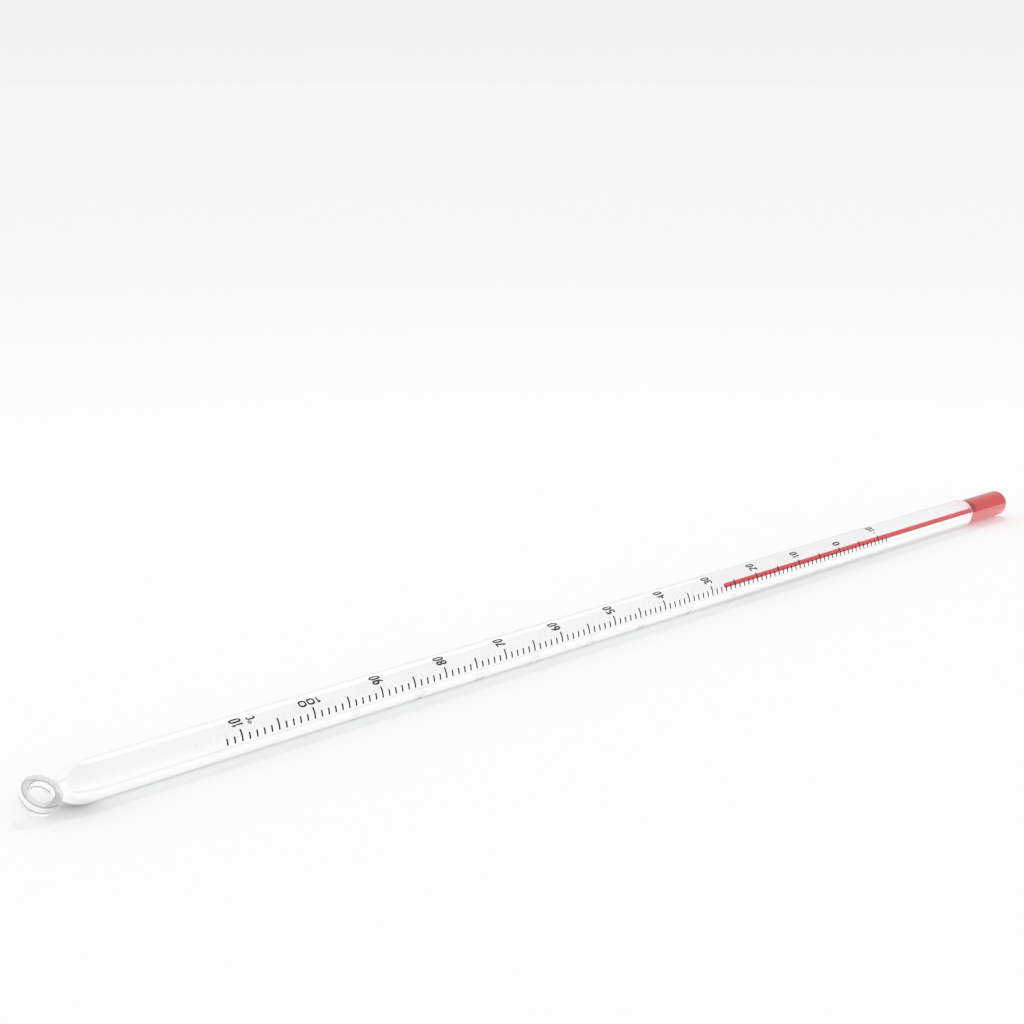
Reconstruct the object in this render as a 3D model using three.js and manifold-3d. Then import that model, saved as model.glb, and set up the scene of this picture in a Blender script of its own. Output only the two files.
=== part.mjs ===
// Solid-stem glass thermometer lying on its side.
// Millimetres. +X runs along the stem to the bulb, +Z is up, and the origin is under the
// middle of the whole length, on the surface that the stem lies on.
import * as THREE from 'three';
import { mergeVertices } from 'three/addons/utils/BufferGeometryUtils.js';
import Module from 'manifold-3d';

// Overall size
const overallLength = 300;
const stemDiameter = 7;
const jointGap = 0.05;

// Scale: angles run from the top of the stem towards -Y
const degreePitch = 1.63;
const lowestMarkToTip = 63.4;
const lowestDegree = -10;
const highestDegree = 110;
const readingDegree = 26.05;
const degreesPerLongMark = 5;
const longMarkTop = THREE.MathUtils.degToRad(54.3);
const longMarkFoot = THREE.MathUtils.degToRad(87.8);
const markWidth = 0.32;
const markDepth = 0.12;
const grooveMargin = 0.03;
const markSteps = 6;

// Stem
const stemSides = 32;
const stemLength = 266.9;
const boreRadius = 0.28;
const boreSides = 12;

// Bulb end
const neckLength = 2.2;
const bulbRadius = 3.1;
const bulbWall = 0.48;
const roundSteps = 8;

// Ring end
const shoulderReach = 6.1;
const shoulderLength = 4.6;
const chamberRadius = 0.8;
const chamberLength = 1.6;
const ringOuterRadius = 3.25;
const ringHoleRadius = 2.05;
const ringThickness = 2.1;
const ringEdge = 0.35;
const ringSides = 32;
const ringTilt = THREE.MathUtils.degToRad(36);

// Liquid column
const threadRadius = 0.25;
const meniscusLength = 3;

// Places along the stem
const bulbTip = overallLength / 2;
const ringEnd = -overallLength / 2;
const ringCentre = ringEnd + ringOuterRadius;
const bulbCentre = bulbTip - bulbRadius;
const markPlace = (degree) => bulbTip - lowestMarkToTip - (degree - lowestDegree) * degreePitch;
const columnEnd = markPlace(readingDegree);
const longMarkDegrees = [];
for (let degree = lowestDegree; degree <= highestDegree; degree += degreesPerLongMark) {
  longMarkDegrees.push(degree);
}
const stemRadius = stemDiameter / 2;
const roundStemRadius = stemRadius / Math.cos(Math.PI / stemSides);
const shoulderRadiusAt = (run) => roundStemRadius * Math.sqrt(1 - (run / shoulderReach) ** 2);
const shoulderEnd = ringCentre + ringOuterRadius + 0.95;
const shoulderStart = shoulderEnd + shoulderLength;
const stemStart = shoulderStart + jointGap;
const stemEnd = stemStart + stemLength;
const neckStart = stemEnd + jointGap;
const neckEnd = neckStart + neckLength;
const bulbStart = neckEnd + jointGap;

const wasm = await Module();
wasm.setup();

function glass(tint) {
  return new THREE.MeshStandardMaterial({ color: tint, roughness: 0.04, metalness: 0 });
}

function spirit() {
  return new THREE.MeshStandardMaterial({ color: 0xc4202f, roughness: 0.12, metalness: 0 });
}

// A solid turned about +X from [x, radius] points, with a flat facet at its lowest side.
function turned(profile, sides) {
  const points = profile.map(([x, radius]) => new THREE.Vector2(radius, x));
  const geometry = new THREE.LatheGeometry(points, sides, Math.PI / sides);
  return geometry.rotateZ(-Math.PI / 2);
}

// Points of a quarter circle from the full radius to the axis, running towards +X.
function roundEnd(centre, radius) {
  const points = [];
  for (let i = 0; i < roundSteps; i += 1) {
    const angle = (i / roundSteps) * (Math.PI / 2);
    points.push([centre + radius * Math.sin(angle), radius * Math.cos(angle)]);
  }
  points.push([centre + radius, 0]);
  return points;
}

// A length along +X of a section whose first axis is +Y and second is +Z.
function extrudedAlongX(section, length) {
  const geometry = new THREE.ExtrudeGeometry(section, { depth: length, bevelEnabled: false });
  const alongX = new THREE.Matrix4().makeBasis(
    new THREE.Vector3(0, 1, 0),
    new THREE.Vector3(0, 0, 1),
    new THREE.Vector3(1, 0, 0),
  );
  return geometry.applyMatrix4(alongX);
}

function polygon(radius, sides, Outline) {
  const points = [];
  for (let i = 0; i < sides; i += 1) {
    const angle = ((i + 0.5) / sides) * 2 * Math.PI;
    points.push(new THREE.Vector2(radius * Math.cos(angle), radius * Math.sin(angle)));
  }
  return new Outline(points);
}

// A piece of a ring about the stem's axis, centred on x = 0 and widened all round by margin.
function markCutter(margin) {
  const inner = stemRadius - markDepth - margin;
  const outer = 2 * stemRadius;
  const turn = margin / stemRadius;
  const from = Math.PI / 2 + longMarkTop - turn;
  const to = Math.PI / 2 + longMarkFoot + turn;
  const arc = (radius, start, end) => {
    const points = [];
    for (let i = 0; i <= markSteps; i += 1) {
      const angle = start + ((end - start) * i) / markSteps;
      points.push(new THREE.Vector2(radius * Math.cos(angle), radius * Math.sin(angle)));
    }
    return points;
  };
  const section = new THREE.Shape([...arc(outer, from, to), ...arc(inner, to, from)]);
  const width = markWidth + 2 * margin;
  return toManifold(extrudedAlongX(section, width).translate(-width / 2, 0, 0));
}

function toManifold(geometry) {
  const bare = geometry.clone();
  bare.deleteAttribute('normal');
  bare.deleteAttribute('uv');
  const merged = mergeVertices(bare, 1e-5);
  return new wasm.Manifold(new wasm.Mesh({
    numProp: 3,
    vertProperties: new Float32Array(merged.attributes.position.array),
    triVerts: new Uint32Array(merged.index.array),
  }));
}

function toGeometry(solid) {
  const mesh = solid.getMesh();
  const geometry = new THREE.BufferGeometry();
  geometry.setAttribute('position', new THREE.BufferAttribute(mesh.vertProperties, 3));
  geometry.setIndex(new THREE.BufferAttribute(mesh.triVerts, 1));
  geometry.computeVertexNormals();
  return geometry;
}

function piece(name, geometry, material, x = 0) {
  const mesh = new THREE.Mesh(geometry, material);
  mesh.name = name;
  mesh.position.x = x;
  return mesh;
}

// The capillary rod, with an engraved groove for each long mark.
function stemGlass() {
  const section = polygon(roundStemRadius, stemSides, THREE.Shape);
  section.holes.push(polygon(boreRadius, boreSides, THREE.Path));
  const cutter = markCutter(grooveMargin);
  let solid = toManifold(extrudedAlongX(section, stemLength));
  for (const degree of longMarkDegrees) {
    solid = solid.subtract(cutter.translate(markPlace(degree) - stemStart, 0, 0));
  }
  return piece('stem_glass', toGeometry(solid), glass(0xeef3f4), stemStart);
}

// The ink that fills the grooves, flush with the glass.
function longMarks() {
  const section = polygon(roundStemRadius, stemSides, THREE.Shape);
  const slice = toManifold(extrudedAlongX(section, 2 * markWidth).translate(-markWidth, 0, 0));
  const geometry = toGeometry(slice.intersect(markCutter(0)));
  return longMarkDegrees.map((degree) => {
    const name = degree < 0 ? `long_mark_minus_${-degree}` : `long_mark_${degree}`;
    const ink = new THREE.MeshStandardMaterial({ color: 0x18181a, roughness: 0.6 });
    return piece(name, geometry.clone(), ink, markPlace(degree));
  });
}

// The stem's closed end: an elliptical round with the expansion chamber in its flat side.
function ringShoulder() {
  const chamberEnd = shoulderStart - chamberLength;
  const profile = [
    [chamberEnd - 0.4, 0],
    [chamberEnd, chamberRadius],
    [shoulderStart - 0.5, chamberRadius],
    [shoulderStart, boreRadius],
  ];
  for (let i = 0; i <= roundSteps; i += 1) {
    const run = (shoulderLength * i) / roundSteps;
    profile.push([shoulderStart - run, shoulderRadiusAt(run)]);
  }
  profile.push([shoulderEnd, 0]);
  return piece('ring_shoulder', turned(profile.reverse(), stemSides), glass(0xeef3f4));
}

// A flat-sided eye with eased edges, and the short waist that joins it to the shoulder.
function hangingRing() {
  const half = ringThickness / 2;
  const rim = [
    [ringHoleRadius, -half + ringEdge],
    [ringHoleRadius + ringEdge, -half],
    [ringOuterRadius - ringEdge, -half],
    [ringOuterRadius, -half + ringEdge],
    [ringOuterRadius, half - ringEdge],
    [ringOuterRadius - ringEdge, half],
    [ringHoleRadius + ringEdge, half],
    [ringHoleRadius, half - ringEdge],
    [ringHoleRadius, -half + ringEdge],
  ];
  const points = rim.map(([radius, side]) => new THREE.Vector2(radius, side));
  const eye = new THREE.LatheGeometry(points, ringSides);
  eye.rotateX(Math.PI / 2 + ringTilt);
  const waistStart = shoulderEnd - jointGap - ringCentre;
  const rimMiddle = (ringHoleRadius + ringOuterRadius) / 2;
  const waist = turned([
    [rimMiddle - 0.5, 0],
    [rimMiddle - 0.5, 1.2],
    [ringOuterRadius, 1.75],
    [waistStart, shoulderRadiusAt(shoulderLength)],
    [waistStart, 0],
  ], stemSides);
  const hole = new THREE.CylinderGeometry(ringHoleRadius, ringHoleRadius, 3 * ringThickness, ringSides);
  hole.rotateX(Math.PI / 2 + ringTilt);
  const solid = toManifold(eye).add(toManifold(waist).subtract(toManifold(hole)));
  return piece('hanging_ring', toGeometry(solid), glass(0xeef3f4), ringCentre);
}

// The fused collar between stem and bulb, with a funnel for the spirit.
function bulbNeck() {
  const funnelRadius = bulbRadius - bulbWall;
  const profile = [
    [neckStart, boreRadius],
    [neckEnd, funnelRadius],
    [neckEnd, bulbRadius],
    [neckStart + neckLength / 2, (bulbRadius + stemRadius) / 2],
    [neckStart, roundStemRadius],
    [neckStart, boreRadius],
  ];
  return piece('bulb_neck', turned(profile.reverse(), stemSides), glass(0xd9cfcd));
}

function bulbGlass() {
  const innerRadius = bulbRadius - bulbWall;
  const inside = [[bulbStart, innerRadius], ...roundEnd(bulbCentre, innerRadius)];
  const outside = [[bulbStart, bulbRadius], ...roundEnd(bulbCentre, bulbRadius)];
  const profile = [...inside.reverse(), ...outside];
  return piece('bulb_glass', turned(profile, stemSides), glass(0xeef3f4));
}

function bulbSpirit() {
  const radius = bulbRadius - bulbWall - jointGap;
  const profile = [
    [neckStart, 0],
    [neckStart, boreRadius - jointGap],
    [neckEnd, radius - jointGap],
    [bulbStart, radius],
    ...roundEnd(bulbCentre, radius),
  ];
  return piece('bulb_spirit', turned(profile, stemSides), spirit());
}

function spiritThread() {
  const start = columnEnd + meniscusLength + jointGap;
  const length = stemEnd - start;
  const section = polygon(threadRadius, boreSides, THREE.Shape);
  return piece('spirit_thread', extrudedAlongX(section, length), spirit(), start);
}

// The moving end of the column, domed towards the ring.
function spiritMeniscus() {
  const profile = [
    [0, 0],
    [0.04, threadRadius * 0.5],
    [0.15, threadRadius * 0.87],
    [0.33, threadRadius],
    [meniscusLength, threadRadius],
    [meniscusLength, 0],
  ];
  return piece('spirit_meniscus', turned(profile, boreSides), spirit(), columnEnd);
}

const stemAxis = new THREE.Group();
stemAxis.position.z = stemRadius;
stemAxis.add(
  stemGlass(),
  ...longMarks(),
  ringShoulder(),
  hangingRing(),
  bulbNeck(),
  bulbGlass(),
  bulbSpirit(),
  spiritThread(),
  spiritMeniscus(),
);

const thermometer = new THREE.Group();
thermometer.add(stemAxis);

export default thermometer;
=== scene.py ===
# Looks of the solid-stem glass thermometer: fused clear glass, red spirit and fired ink.
# Lengths are in millimetres until a mesh or a shader is made, and angles are in radians.
import math

import bmesh
import bpy
from mathutils import Matrix, Vector


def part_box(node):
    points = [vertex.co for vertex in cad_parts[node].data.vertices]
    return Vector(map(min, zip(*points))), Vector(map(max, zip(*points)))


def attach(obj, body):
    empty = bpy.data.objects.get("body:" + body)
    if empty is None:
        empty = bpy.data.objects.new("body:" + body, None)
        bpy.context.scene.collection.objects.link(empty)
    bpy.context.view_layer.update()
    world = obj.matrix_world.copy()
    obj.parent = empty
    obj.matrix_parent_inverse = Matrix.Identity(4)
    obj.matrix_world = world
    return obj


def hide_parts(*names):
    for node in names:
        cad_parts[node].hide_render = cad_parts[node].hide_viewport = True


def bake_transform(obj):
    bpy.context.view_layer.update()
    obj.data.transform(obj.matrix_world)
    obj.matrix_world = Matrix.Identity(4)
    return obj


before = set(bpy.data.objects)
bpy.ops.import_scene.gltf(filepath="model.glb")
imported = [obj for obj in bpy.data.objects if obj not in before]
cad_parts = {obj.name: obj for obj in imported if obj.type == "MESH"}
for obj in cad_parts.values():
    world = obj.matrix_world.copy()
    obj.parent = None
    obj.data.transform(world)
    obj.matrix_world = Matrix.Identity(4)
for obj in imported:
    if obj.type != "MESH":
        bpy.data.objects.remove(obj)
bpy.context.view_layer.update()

MM = 0.001


def low_mm(node):
    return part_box(node)[0] / MM


def high_mm(node):
    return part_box(node)[1] / MM


# Places and sizes that the frame gives
STEM_START = low_mm("stem_glass").x
STEM_RADIUS = (high_mm("stem_glass").z - low_mm("stem_glass").z) / 2
AXIS_HEIGHT = low_mm("stem_glass").z + STEM_RADIUS
BULB_TIP = high_mm("bulb_glass").x
BULB_RADIUS = AXIS_HEIGHT - low_mm("bulb_glass").z
RING_END = low_mm("hanging_ring").x
NECK_START = low_mm("bulb_neck").x
NECK_END = high_mm("bulb_neck").x
THREAD_RADIUS = (high_mm("spirit_thread").z - low_mm("spirit_thread").z) / 2
COLUMN_END = low_mm("spirit_meniscus").x
MENISCUS_END = high_mm("spirit_meniscus").x

# Glass. The skins are how far the drawn surface stays inside the frame's own.
STEM_SKIN = 0.02
BULB_SKIN = 0.01
GLASS_RADIUS = STEM_RADIUS - STEM_SKIN
GLASS_SIDES = 96
SHOULDER_REACH = 6.1
BULB_WALL = 0.48
GLASS_IOR = 1.5

# Spirit. The filling wets the glass, so its own surface bends no light.
SPIRIT_START = NECK_END + 0.6
SPIRIT_IOR = 1.36
SPIRIT_IN_GLASS_IOR = 1.0
THREAD_SIDES = 24
THREAD_LENGTHS = 120

# Hanging ring
RING_OUTER = 3.25
RING_HOLE = 2.05
RING_HALF = 1.05
RING_EDGE = 0.2
RING_TILT = math.radians(36)
RING_CENTRE = RING_END + RING_OUTER
RING_SEGMENTS = 96

# Scale. Sides are angles from the top of the stem towards the side that the scale faces.
PITCH = 1.63
LOWEST_MARK = BULB_TIP - 63.4
LOWEST_DEGREE = -10
HIGHEST_DEGREE = 110
SPARE_MARKS = 2
LONG_STEP = 5
MARK_WIDTH = 0.32
MARK_LOW_SIDE = math.radians(87.8)
SHORT_MARK_TOP = math.radians(68.6)
LONG_MARK_TOP = math.radians(54.3)
INK_TOP = 0.002
INK_DEPTH = 0.03
FIGURE = (0.64, 2.26)
FIGURE_GAP = 0.46
STROKE = 0.32
NUMERAL_SIDE = math.radians(43.4)
NUMERAL_SHIFTS = {-10: -0.34, 60: -0.56}
SIGN_DEGREE = 108

# Room
FLOOR_HALF = 12000
WHITE = (1, 1, 1)

# Camera
LENS = 74.3
CAMERA_PLACE = Vector((-0.3286, -0.2552, 0.1114))
CAMERA_HEADING = math.radians(41.32)
CAMERA_DROP = math.radians(11.84)


# ---------------------------------------------------------------- mesh helpers

def mesh_object(name, vertices, faces, smooth_under=180):
    mesh = bpy.data.meshes.new(name)
    mesh.from_pydata([Vector(v) * MM for v in vertices], [], faces)
    work = bmesh.new()
    work.from_mesh(mesh)
    bmesh.ops.recalc_face_normals(work, faces=work.faces)
    work.to_mesh(mesh)
    work.free()
    mesh.shade_smooth()
    if smooth_under < 180:
        mesh.set_sharp_from_angle(angle=math.radians(smooth_under))
    thing = bpy.data.objects.new(name, mesh)
    bpy.context.scene.collection.objects.link(thing)
    return thing


def on_stem(x, angle, radius):
    """A point at an angle from the top of the stem towards the side that the scale faces."""
    return (x, -radius * math.sin(angle), AXIS_HEIGHT + radius * math.cos(angle))


def turned(name, profile, sides, smooth_under=30):
    """A solid turned about the stem's axis from (x, radius) points; radius 0 is a pole."""
    vertices = []
    rings = []
    for x, radius in profile:
        if radius == 0:
            rings.append([len(vertices)])
            vertices.append((x, 0, AXIS_HEIGHT))
            continue
        rings.append(list(range(len(vertices), len(vertices) + sides)))
        for i in range(sides):
            vertices.append(on_stem(x, 2 * math.pi * i / sides, radius))
    faces = []
    for a, b in zip(rings, rings[1:]):
        for i in range(sides):
            j = (i + 1) % sides
            if len(a) == 1:
                faces.append((a[0], b[i], b[j]))
            elif len(b) == 1:
                faces.append((a[i], a[j], b[0]))
            else:
                faces.append((a[i], a[j], b[j], b[i]))
    return mesh_object(name, vertices, faces, smooth_under)


def round_end(centre, radius, steps=14):
    points = []
    for i in range(steps):
        angle = math.pi / 2 * i / steps
        points.append((centre + radius * math.sin(angle), radius * math.cos(angle)))
    points.append((centre + radius, 0))
    return points


# ---------------------------------------------------------------- materials

def fill_ramp(ramp, stops):
    """Puts (position, colour) stops into a Color Ramp node."""
    elements = ramp.color_ramp.elements
    for element, (position, colour) in zip(elements, (stops[0], stops[-1])):
        element.position, element.color = position, (*colour, 1)
    for position, colour in stops[1:-1]:
        elements.new(position).color = (*colour, 1)


class Shader:
    """A node material with a Principled shader and small helpers to build on it."""

    def __init__(self, name):
        self.material = bpy.data.materials.new(name)
        self.material.use_nodes = True
        self.tree = self.material.node_tree
        self.main = self.tree.nodes["Principled BSDF"]

    def feed(self, target, value):
        """Gives an input a constant or the output of another node."""
        if isinstance(value, bpy.types.NodeSocket):
            self.tree.links.new(value, target)
        else:
            target.default_value = value

    def set(self, **values):
        for key, value in values.items():
            self.feed(self.main.inputs[key.replace("_", " ")], value)

    def node(self, kind, **values):
        made = self.tree.nodes.new(kind)
        for key, value in values.items():
            self.feed(made.inputs[key.replace("_", " ")], value)
        return made

    def maths(self, kind, operation, *values, result="Value"):
        """The result of a maths node, with its inputs in order."""
        made = self.tree.nodes.new(kind)
        made.operation = operation
        for target, value in zip(made.inputs, values):
            self.feed(target, value)
        return made.outputs[result]

    def place(self):
        return self.node("ShaderNodeTexCoord").outputs["Object"]

    def part(self, vector, axis):
        return self.node("ShaderNodeSeparateXYZ", Vector=vector).outputs[axis]

    def share(self, value, low, high):
        """How far a value is between two others, from 0 to 1."""
        share = self.node("ShaderNodeMapRange", Value=value, From_Min=low, From_Max=high)
        return share.outputs["Result"]

    def along(self, start, end):
        """How far a point is between two places along the stem, from 0 to 1."""
        return self.share(self.part(self.place(), "X"), start * MM, end * MM)

    def facing(self):
        """How far a ray grazes the surface: 0 where it meets it squarely, 1 at its rim."""
        return self.node("ShaderNodeLayerWeight", Blend=0.5).outputs["Facing"]

    def noise(self, scale, detail, stretch=WHITE):
        mapping = self.node("ShaderNodeMapping", Vector=self.place(), Scale=stretch)
        place = mapping.outputs["Vector"]
        texture = self.node("ShaderNodeTexNoise", Vector=place, Scale=scale, Detail=detail)
        return texture.outputs["Fac"]

    def ramp(self, source, stops):
        ramp = self.node("ShaderNodeValToRGB", Fac=source)
        fill_ramp(ramp, stops)
        return ramp.outputs["Color"]

    def product(self, first, second):
        return self.maths("ShaderNodeVectorMath", "MULTIPLY", first, second, result="Vector")

    def mix(self, share, first, second):
        """The first colour where the share is 0, and the second where it is 1."""
        mix = self.tree.nodes.new("ShaderNodeMix")
        mix.data_type = "RGBA"
        for socket, value in (("Factor", share), ("A", first), ("B", second)):
            self.feed(mix.inputs[socket], value)
        return mix.outputs["Result"]

    def bump(self, height, strength, distance):
        bump = self.node("ShaderNodeBump", Height=height, Strength=strength, Distance=distance)
        self.set(Normal=bump.outputs["Normal"])


def let_light_through(shader, lamp_tints, bounce_tint, shade=None):
    """Light reaches the floor through the glass by tints alone, so that it casts a soft shadow.

    The lamp tints are for light that meets the skin squarely and for light that grazes it, which
    the real glass bends away. A shade darkens both where the glass bends more light away. A ray
    that the glass has mirrored inside leaves it at the next skin.
    """
    rays = shader.node("ShaderNodeLightPath")
    facing = shader.facing()
    square, grazing = lamp_tints
    middle = tuple(0.45 * a + 0.55 * b for a, b in zip(square, grazing))
    lamp_colour = shader.ramp(facing, [(0.0, square), (0.3, middle), (0.7, grazing)])
    bounce_colour = shader.ramp(facing, [(0.0, bounce_tint), (1.0, bounce_tint)])
    if shade:
        lamp_colour = shader.product(lamp_colour, shade)
        bounce_colour = shader.product(bounce_colour, shade)
    surface = shader.main.outputs["BSDF"]
    passes = (
        ("Is Reflection Ray", (*WHITE, 1)),
        ("Is Diffuse Ray", bounce_colour),
        ("Is Shadow Ray", lamp_colour),
    )
    for ray, colour in passes:
        clear = shader.node("ShaderNodeBsdfTransparent", Color=colour)
        mix = shader.node("ShaderNodeMixShader", Fac=rays.outputs[ray])
        shader.feed(mix.inputs[1], surface)
        shader.feed(mix.inputs[2], clear.outputs["BSDF"])
        surface = mix.outputs["Shader"]
    shader.feed(shader.tree.nodes["Material Output"].inputs["Surface"], surface)


def glass_material():
    """Clear drawn glass: faint lengthwise draw lines, and a painted shade in its colour where the eye
    grazes its rim.

    The painted shade is darkest under the stem, where it stands in for the stem's own shadow mirrored
    in it, and over the thin bulb.
    """
    shader = Shader("clear_glass")
    shader.set(Roughness=0.0, IOR=GLASS_IOR, Transmission_Weight=1.0)
    draw_lines = shader.noise(900, 2.0, (0.02, 1, 1))
    shader.bump(draw_lines, 0.04, 0.00002)
    facing = shader.facing()
    # Painted shade: the colour darkens where the eye grazes the rim, faintly over most of the glass.
    faint = shader.ramp(facing, [(0.0, WHITE), (0.78, WHITE), (1.0, (0.3, 0.3, 0.31))])
    # Deeper painted shade, used under the stem and over the thin bulb.
    dark = shader.ramp(facing, [
        (0.0, WHITE), (0.63, WHITE), (0.77, (0.48, 0.47, 0.47)), (1.0, (0.34, 0.32, 0.32)),
    ])
    tilt = shader.part(shader.node("ShaderNodeNewGeometry").outputs["Normal"], "Z")
    underside = shader.share(tilt, 0.15, -0.15)
    bulb = shader.along(NECK_END, NECK_END + 1.0)
    painted_shade_side = shader.maths("ShaderNodeMath", "SUBTRACT", underside, bulb)
    painted_shade_side = shader.maths("ShaderNodeMath", "ABSOLUTE", painted_shade_side)
    shader.set(Base_Color=shader.mix(painted_shade_side, faint, dark))
    nose = shader.along(STEM_START - 2.5, STEM_START + 1.5)
    shade = shader.ramp(nose, [(0.0, (0.5, 0.5, 0.5)), (1.0, WHITE)])
    lamp_tints = (0.945, 0.95, 0.955), (0.56, 0.565, 0.57)
    let_light_through(shader, lamp_tints, (0.945, 0.95, 0.955), shade)
    return shader.material


def ring_glass_material():
    """Pressed glass of the eye, with painted shade in its colour: greyer through its flat faces,
    where the shadowed floor shows through, and painted dark along its rounded edges.
    """
    shader = Shader("ring_glass")
    shader.set(Roughness=0.0, IOR=GLASS_IOR, Transmission_Weight=1.0)
    centre = (-RING_CENTRE * MM, 0, -AXIS_HEIGHT * MM)
    about = shader.node("ShaderNodeMapping", Vector=shader.place(), Location=centre).outputs["Vector"]
    axis = (0, -math.sin(RING_TILT) / MM, math.cos(RING_TILT) / MM)
    height = shader.maths("ShaderNodeVectorMath", "DOT_PRODUCT", about, axis)
    from_middle = shader.share(shader.maths("ShaderNodeMath", "ABSOLUTE", height), 0, RING_HALF)
    # Painted shade: grey on the flat faces and near black along the rounded edges.
    painted_face_shade = (0.74, 0.745, 0.75)
    colour = shader.ramp(from_middle, [
        (0.0, WHITE), (0.8, WHITE), (0.86, (0.18, 0.18, 0.19)),
        (0.96, (0.22, 0.22, 0.23)), (0.985, painted_face_shade), (1.0, painted_face_shade),
    ])
    shader.set(Base_Color=colour)
    lamp_tints = (0.92, 0.925, 0.93), (0.7, 0.705, 0.71)
    let_light_through(shader, lamp_tints, (0.95, 0.955, 0.96))
    return shader.material


def bulb_spirit_material():
    """Dyed spirit in the bulb, with painted light and shade in its colour: a deep red painted shade
    over the top, paler painted light below, and a painted shade over the top of its mouth.
    """
    shader = Shader("bulb_spirit_red")
    shader.set(Roughness=0.0, IOR=SPIRIT_IN_GLASS_IOR, Transmission_Weight=1.0)
    place = shader.place()
    height = shader.maths("ShaderNodeMath", "SUBTRACT", shader.part(place, "Z"), AXIS_HEIGHT * MM)
    turn = shader.maths("ShaderNodeMath", "ARCTAN2", shader.part(place, "Y"), height)
    round_axis = shader.share(turn, -math.pi, math.pi)
    # Painted light and shade: deep over the top for the shadowed floor seen through the bulb, pale
    # below for the bright sky seen through it.
    deep, pale, far = (0.6, 0.004, 0.008), (0.78, 0.18, 0.19), (0.8, 0.2, 0.21)
    colour = shader.ramp(round_axis, [
        (0.0, pale), (0.262, pale), (0.272, deep), (0.5, deep), (0.6, far), (0.95, far), (1.0, pale),
    ])
    # Painted shade over the top of the spirit at the bulb's mouth, by the neck.
    neck_shade = (0.2, 0.16, 0.13)
    upper_neck_shade = shader.ramp(round_axis, [
        (0.0, WHITE), (0.262, WHITE), (0.272, neck_shade), (0.62, neck_shade), (0.7, WHITE),
    ])
    past_mouth = shader.along(SPIRIT_START + 0.9, SPIRIT_START + 1.7)
    mouth = shader.mix(past_mouth, upper_neck_shade, (*WHITE, 1))
    shader.set(Base_Color=shader.product(colour, mouth))
    lamp_tints = (0.97, 0.5, 0.52), (0.93, 0.4, 0.42)
    let_light_through(shader, lamp_tints, (0.96, 0.5, 0.52))
    return shader.material


def thread_material():
    """Dyed spirit in the capillary: dense red, a little lighter where the dye is thin."""
    shader = Shader("thread_spirit")
    dye = shader.noise(120, 3.0, (0.1, 1, 1))
    colour = shader.ramp(dye, [(0.3, (0.58, 0.026, 0.04)), (0.7, (0.66, 0.04, 0.058))])
    shader.set(Roughness=0.3, IOR=SPIRIT_IOR, Base_Color=colour)
    return shader.material


def ink_material():
    """Fired black ink, thinner and greyer in specks."""
    shader = Shader("fired_ink")
    speck = shader.noise(4000, 4.0)
    colour = shader.ramp(speck, [(0.35, (0.004, 0.004, 0.005)), (0.75, (0.025, 0.025, 0.027))])
    shader.set(Roughness=0.6, IOR=1.45, Specular_IOR_Level=0.1, Base_Color=colour)
    shader.bump(speck, 0.3, 0.00001)
    return shader.material


GLASS = glass_material()
RING_GLASS = ring_glass_material()
BULB_RED = bulb_spirit_material()
THREAD_RED = thread_material()
INK = ink_material()


def finished(thing, material, body="thermometer"):
    thing.data.materials.append(material)
    if body:
        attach(thing, body)
    return thing


# ---------------------------------------------------------------- glass and spirit

def outer_skin():
    """The outside of the fused glass: nose in the eye, shoulder, rod, neck and bulb."""
    profile = [(STEM_START - SHOULDER_REACH, 0)]
    steps = 16
    for i in range(1, steps + 1):
        turn = math.pi / 2 * i / steps
        profile.append((STEM_START - SHOULDER_REACH * math.cos(turn), GLASS_RADIUS * math.sin(turn)))
    steps = 10
    for i in range(steps + 1):
        share = i / steps
        ease = share * share * (3 - 2 * share)
        radius = GLASS_RADIUS - (GLASS_RADIUS - BULB_RADIUS + BULB_SKIN) * ease
        profile.append((NECK_START + share * (NECK_END - NECK_START), radius))
    return profile + round_end(BULB_TIP - BULB_RADIUS, BULB_RADIUS - BULB_SKIN)


def fused_glass():
    thing = turned("thermometer_glass", outer_skin(), GLASS_SIDES, 60)
    finished(thing, GLASS)
    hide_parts("stem_glass", "ring_shoulder", "bulb_neck", "bulb_glass")


def ring_section():
    """The ring's cross-section as (radius, height) points: a block with rounded edges."""
    section = []
    corners = (
        (RING_OUTER, RING_HALF, 0), (RING_HOLE, RING_HALF, 90),
        (RING_HOLE, -RING_HALF, 180), (RING_OUTER, -RING_HALF, 270),
    )
    for radius, height, start in corners:
        inward = RING_EDGE if radius == RING_HOLE else -RING_EDGE
        lower = RING_EDGE if height < 0 else -RING_EDGE
        steps = 4
        for i in range(steps + 1):
            turn = math.radians(start + 90 * i / steps)
            across, up = RING_EDGE * math.cos(turn), RING_EDGE * math.sin(turn)
            section.append((radius + inward + across, height + lower + up))
    return section


def hanging_ring():
    """A flat-sided eye with rounded edges, turned about the stem."""
    axis = Vector((0, -math.sin(RING_TILT), math.cos(RING_TILT)))
    across = Vector((0, math.cos(RING_TILT), math.sin(RING_TILT)))
    along = Vector((1, 0, 0))
    centre = Vector((RING_CENTRE, 0, AXIS_HEIGHT))
    section = ring_section()
    count = len(section)
    vertices = []
    faces = []
    for i in range(RING_SEGMENTS):
        angle = 2 * math.pi * i / RING_SEGMENTS
        spoke = along * math.cos(angle) + across * math.sin(angle)
        for radius, height in section:
            vertices.append(centre + spoke * radius + axis * height)
        a, b = i * count, (i + 1) % RING_SEGMENTS * count
        for j in range(count):
            k = (j + 1) % count
            faces.append((a + j, b + j, b + k, a + k))
    thing = mesh_object("hanging_ring_glass", vertices, faces, 35)
    finished(thing, RING_GLASS)
    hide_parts("hanging_ring")


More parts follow.
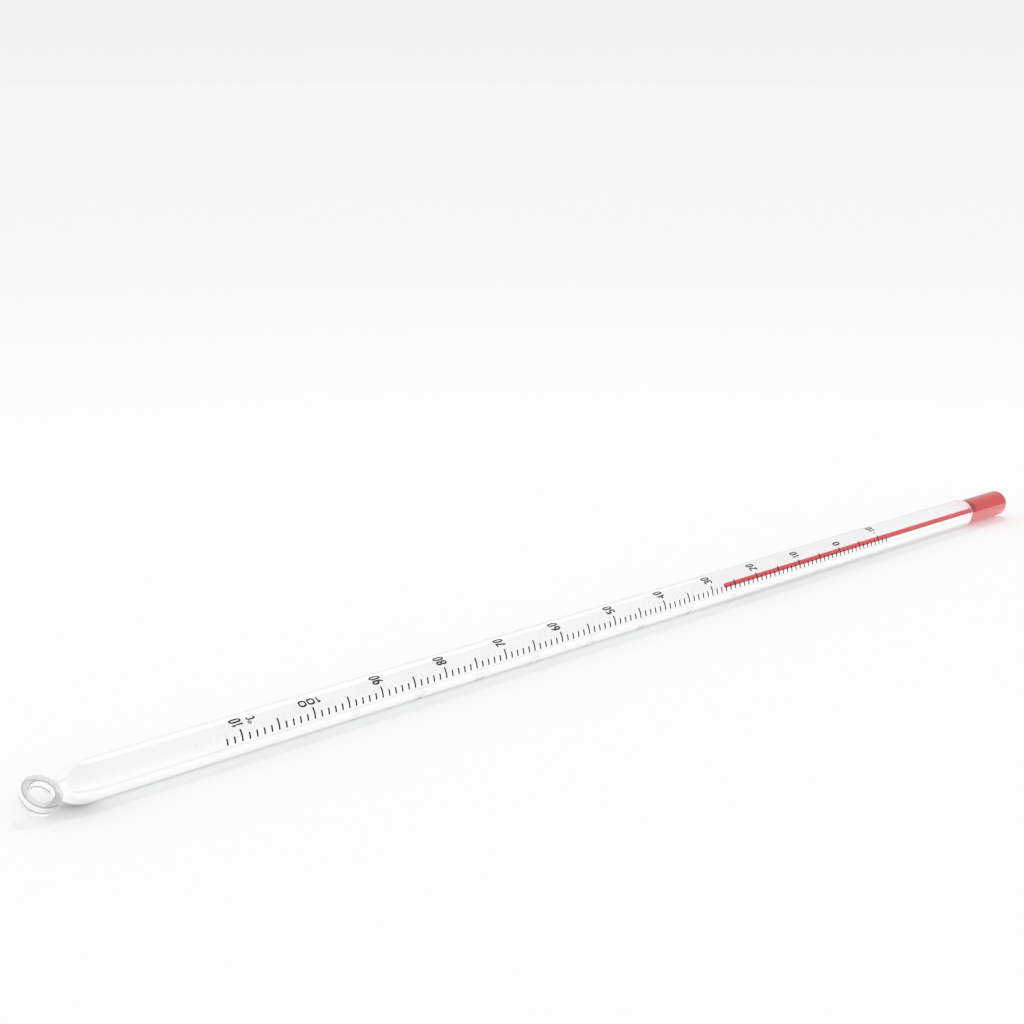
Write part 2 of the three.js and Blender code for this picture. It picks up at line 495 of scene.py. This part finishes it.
def bulb_filling():
    """The spirit in the bulb, with a mouth that opens from the thread to the bulb's wall."""
    inner = BULB_RADIUS - BULB_WALL
    outline = [
        (SPIRIT_START, 0),
        (SPIRIT_START, THREAD_RADIUS + 0.1),
        (SPIRIT_START + 0.4, inner - 1.2),
        (SPIRIT_START + 0.9, inner - 0.4),
        (SPIRIT_START + 1.5, inner - 0.08),
        (SPIRIT_START + 2.2, inner),
    ]
    outline += round_end(BULB_TIP - BULB_RADIUS, inner)
    thing = turned("bulb_spirit_filling", outline, GLASS_SIDES)
    finished(thing, BULB_RED)
    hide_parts("bulb_spirit")


def thread():
    """The column, in many short lengths."""
    start, end = MENISCUS_END - 0.02, SPIRIT_START + 0.1
    profile = [(start, 0)]
    for i in range(THREAD_LENGTHS + 1):
        profile.append((start + (end - start) * i / THREAD_LENGTHS, THREAD_RADIUS))
    profile.append((end, 0))
    thing = turned("spirit_thread_column", profile, THREAD_SIDES)
    finished(thing, THREAD_RED, body=None)
    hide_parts("spirit_thread")
    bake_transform(thing)


def meniscus():
    """The domed end of the column."""
    profile = [(COLUMN_END, 0)]
    steps = 6
    for i in range(1, steps + 1):
        angle = math.pi / 2 * i / steps
        x = COLUMN_END + THREAD_RADIUS - THREAD_RADIUS * math.cos(angle)
        profile.append((x, THREAD_RADIUS * math.sin(angle)))
    profile += [(MENISCUS_END, THREAD_RADIUS), (MENISCUS_END, 0)]
    thing = turned("spirit_column_end", profile, THREAD_SIDES)
    finished(thing, THREAD_RED, body="column_end")
    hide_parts("spirit_meniscus")


# ---------------------------------------------------------------- printed scale

def degree_place(degree):
    return LOWEST_MARK - (degree - LOWEST_DEGREE) * PITCH


class Ink:
    """Collects thin marks on the stem into one mesh."""

    def __init__(self):
        self.vertices = []
        self.faces = []

    def strip(self, pairs, closed=False):
        """A ribbon between pairs of (x, angle) points, as a thin closed solid on the glass."""
        start = len(self.vertices)
        for left, right in pairs:
            for x, angle in (left, right):
                self.vertices.append(on_stem(x, angle, STEM_RADIUS - INK_TOP))
                self.vertices.append(on_stem(x, angle, STEM_RADIUS - INK_DEPTH))
        count = len(pairs)
        for i in range(count if closed else count - 1):
            a = start + 4 * i
            b = start + 4 * ((i + 1) % count)
            self.faces += [
                (a, a + 2, b + 2, b),
                (a + 1, b + 1, b + 3, a + 3),
                (a, b, b + 1, a + 1),
                (a + 2, a + 3, b + 3, b + 2),
            ]
        if not closed:
            last = start + 4 * (count - 1)
            self.faces += [
                (start, start + 1, start + 3, start + 2),
                (last, last + 2, last + 3, last + 1),
            ]

    def piece(self, name):
        thing = mesh_object(name, self.vertices, self.faces, 30)
        return finished(thing, INK)


def graduations(name, degrees, top):
    ink = Ink()
    steps = 6
    for degree in degrees:
        x = degree_place(degree)
        pairs = []
        for i in range(steps + 1):
            angle = top + (MARK_LOW_SIDE - top) * i / steps
            pairs.append(((x - MARK_WIDTH / 2, angle), (x + MARK_WIDTH / 2, angle)))
        ink.strip(pairs)
    return ink.piece(name)


def arc(cx, cy, rx, ry, start, end, steps=10):
    """Points of an elliptical arc; angles in degrees, anticlockwise from the right."""
    points = []
    for i in range(steps + 1):
        angle = math.radians(start + (end - start) * i / steps)
        points.append((cx + rx * math.cos(angle), cy + ry * math.sin(angle)))
    return points


# Each figure's width and the centre lines of its strokes, in a cell one wide and one high.
# True closes a stroke on itself.
GLYPHS = {
    "0": (1.0, [(arc(0.5, 0.7, 0.5, 0.3, 0, 180) + arc(0.5, 0.3, 0.5, 0.3, 180, 360), True)]),
    "1": (0.55, [([(0.0, 0.8), (0.36, 1.0), (0.36, 0.0)], False)]),
    "2": (1.0, [(arc(0.5, 0.76, 0.48, 0.24, 170, -30) + [(0.0, 0.0), (1.0, 0.0)], False)]),
    "3": (1.0, [
        (arc(0.5, 0.76, 0.44, 0.24, 160, -80) + arc(0.5, 0.27, 0.5, 0.27, 80, -160), False),
    ]),
    "4": (1.0, [([(0.72, 0.0), (0.72, 1.0), (0.0, 0.3), (1.0, 0.3)], False)]),
    "5": (1.0, [
        ([(0.95, 1.0), (0.12, 1.0), (0.06, 0.55)] + arc(0.5, 0.3, 0.5, 0.3, 120, -150), False),
    ]),
    "6": (1.0, [
        (arc(0.5, 0.3, 0.5, 0.3, 100, -260), True),
        (arc(0.62, 0.34, 0.6, 0.66, 175, 85), False),
    ]),
    "7": (1.0, [([(0.0, 1.0), (1.0, 1.0), (0.36, 0.0)], False)]),
    "8": (1.0, [
        (arc(0.5, 0.76, 0.44, 0.24, -90, 270, 20), True),
        (arc(0.5, 0.26, 0.5, 0.26, 90, 450, 20), True),
    ]),
    "9": (1.0, [
        (arc(0.5, 0.7, 0.5, 0.3, -80, 280), True),
        (arc(0.38, 0.66, 0.6, 0.66, -5, -95), False),
    ]),
    "-": (0.6, [([(0.0, 0.5), (0.6, 0.5)], False)]),
    "o": (1.0, [(arc(0.5, 0.5, 0.5, 0.5, 0, 360, 16), True)]),
    "C": (1.0, [(arc(0.5, 0.66, 0.5, 0.3, 40, 180) + arc(0.5, 0.3, 0.5, 0.3, 180, 320), False)]),
}
NARROWEST_TURN = 0.35
LONGEST_MITRE = 1.6


def ribbon(points, closed, width):
    """Left and right edges of a stroke of even width along a centre line."""
    if closed and (Vector(points[0]) - Vector(points[-1])).length < 1e-6:
        points = points[:-1]
    line = [points[0]]
    for point in points[1:]:
        if (Vector(point) - Vector(line[-1])).length > 1e-4:
            line.append(point)
    count = len(line)
    pairs = []
    for i, point in enumerate(line):
        here = Vector(point)
        before = Vector(line[i - 1]) if i or closed else None
        after = Vector(line[(i + 1) % count]) if i < count - 1 or closed else None
        incoming = (here - before).normalized() if before else (after - here).normalized()
        outgoing = (after - here).normalized() if after else incoming
        mean = (incoming + outgoing).normalized()
        side = Vector((-mean.y, mean.x))
        mitre = min(1 / max(mean.dot(incoming), NARROWEST_TURN), LONGEST_MITRE)
        shift = side * width / 2 * mitre
        pairs.append((here + shift, here - shift))
    return pairs


def label(name, text, degree, side, figure=FIGURE, gap=FIGURE_GAP, stroke=STROKE, shift=0.0,
          lengthwise=False):
    """Figures on the stem. They read round it with their tops towards the ring, or along it."""
    ink = Ink()
    x = degree_place(degree) + shift
    width, height = figure
    pen = 0.0
    for character in text:
        span, strokes = GLYPHS[character]
        for points, closed in strokes:
            line = [(pen + u * width, v * height) for u, v in points]
            pairs = []
            for edges in ribbon(line, closed, stroke):
                if lengthwise:
                    pairs.append([(x - a, side + b / STEM_RADIUS) for a, b in edges])
                else:
                    pairs.append([(x + height / 2 - b, side - a / STEM_RADIUS) for a, b in edges])
            ink.strip(pairs, closed)
        pen += span * width + gap
    return ink.piece(name)


def numeral(name, text, degree):
    label(name, text, degree, NUMERAL_SIDE, shift=NUMERAL_SHIFTS.get(degree, 0.0))


def scale():
    top = HIGHEST_DEGREE + SPARE_MARKS
    bottom = LOWEST_DEGREE - SPARE_MARKS
    long_degrees = range(LOWEST_DEGREE, HIGHEST_DEGREE + 1, LONG_STEP)
    short_degrees = [degree for degree in range(bottom, top + 1) if degree % LONG_STEP]
    long_marks = graduations("long_graduations", long_degrees, LONG_MARK_TOP)
    cad_names = [f"long_mark_{degree}".replace("_-", "_minus_") for degree in long_degrees]
    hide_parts(*cad_names)
    graduations("short_graduations", short_degrees, SHORT_MARK_TOP)
    for degree in range(0, 100, 10):
        numeral(f"numeral_{degree}", str(degree), degree)
    numeral("numeral_minus_10", "-10", -10)
    numeral("numeral_110", "10", 110)
    label("degree_ring", "o", SIGN_DEGREE, math.radians(46.3), (0.46, 0.6), stroke=0.17, shift=-0.75)
    label("degree_letter", "C", SIGN_DEGREE, math.radians(33.6), (0.5, 1.7), stroke=0.26, shift=-0.1)
    label("numeral_100", "100", 100, math.radians(27.0), (1.34, 1.06), gap=0.6, shift=2.3,
          lengthwise=True)


# ---------------------------------------------------------------- room, light, camera

def floor():
    """A white table top, with a painted shade that makes it a little greyer far away, where the light
    falls off.
    """
    corners = [(x * FLOOR_HALF, y * FLOOR_HALF, 0) for x, y in ((-1, -1), (1, -1), (1, 1), (-1, 1))]
    thing = mesh_object("floor", corners, [(0, 1, 2, 3)])
    shader = Shader("floor_white")
    distance = shader.maths("ShaderNodeVectorMath", "LENGTH", shader.place())
    near_to_far = shader.share(distance, 0.3, 4.0)
    # Painted shade: the floor's white falls off with distance from the thermometer.
    stops = ((0.0, 0.84), (0.2, 0.795), (0.5, 0.79), (1.0, 0.79))
    colour = shader.ramp(near_to_far, [(share, (level,) * 3) for share, level in stops])
    shader.set(Roughness=0.9, Specular_IOR_Level=0.0, Base_Color=colour)
    thing.data.materials.append(shader.material)


def sky():
    """A white studio: darker overhead, and a little darker towards the horizon."""
    world = bpy.data.worlds.new("studio")
    bpy.context.scene.world = world
    world.use_nodes = True
    tree = world.node_tree
    place = tree.nodes.new("ShaderNodeTexCoord")
    part = tree.nodes.new("ShaderNodeSeparateXYZ")
    ramp = tree.nodes.new("ShaderNodeValToRGB")
    stops = ((0.0, 0.9), (0.04, 0.87), (0.1, 1.0), (0.35, 0.98), (0.6, 0.9), (0.8, 0.76))
    fill_ramp(ramp, [(height, (level,) * 3) for height, level in stops])
    tree.links.new(place.outputs["Generated"], part.inputs["Vector"])
    tree.links.new(part.outputs["Z"], ramp.inputs["Fac"])
    tree.links.new(ramp.outputs["Color"], tree.nodes["Background"].inputs["Color"])
    world.cycles.sampling_method = "NONE"


def soft_light(name, direction, share, spread, mirrored=False):
    """A distant soft lamp that gives the floor this share of a white surface's light."""
    towards = Vector(direction).normalized()
    data = bpy.data.lights.new(name, "SUN")
    data.energy = share * math.pi / towards.z
    data.angle = math.radians(spread)
    thing = bpy.data.objects.new(name, data)
    thing.visible_transmission = False
    thing.visible_glossy = mirrored
    thing.rotation_euler = towards.to_track_quat("Z", "Y").to_euler()
    bpy.context.scene.collection.objects.link(thing)


def lights():
    soft_light("edge_softbox", (0.61, 0.5, 0.61), 0.05, 30, mirrored=True)
    soft_light("back_lamp", (0.5, 0.27, 0.83), 0.13, 6)
    soft_light("front_lamp", (-0.35, -0.72, 0.63), 0.13, 24)


def light_paths():
    """Enough bounces for the rod; lamps reach the floor through the glass by its tint alone."""
    cycles = bpy.context.scene.cycles
    cycles.max_bounces = 24
    cycles.glossy_bounces = 24
    cycles.transmission_bounces = 24
    cycles.caustics_refractive = False
    cycles.caustics_reflective = False


def camera():
    data = bpy.data.cameras.new("camera")
    data.lens = LENS
    data.clip_start = 0.01
    data.clip_end = 50
    thing = bpy.data.objects.new("camera", data)
    bpy.context.scene.collection.objects.link(thing)
    heading = Matrix.Rotation(CAMERA_HEADING - math.pi / 2, 4, "Z")
    drop = Matrix.Rotation(math.pi / 2 - CAMERA_DROP, 4, "X")
    thing.matrix_world = Matrix.Translation(CAMERA_PLACE) @ heading @ drop
    bpy.context.scene.camera = thing


camera()
floor()
sky()
lights()
light_paths()
fused_glass()
hanging_ring()
bulb_filling()
thread()
meniscus()
scale()
bpy.context.scene.view_settings.view_transform = "Standard"
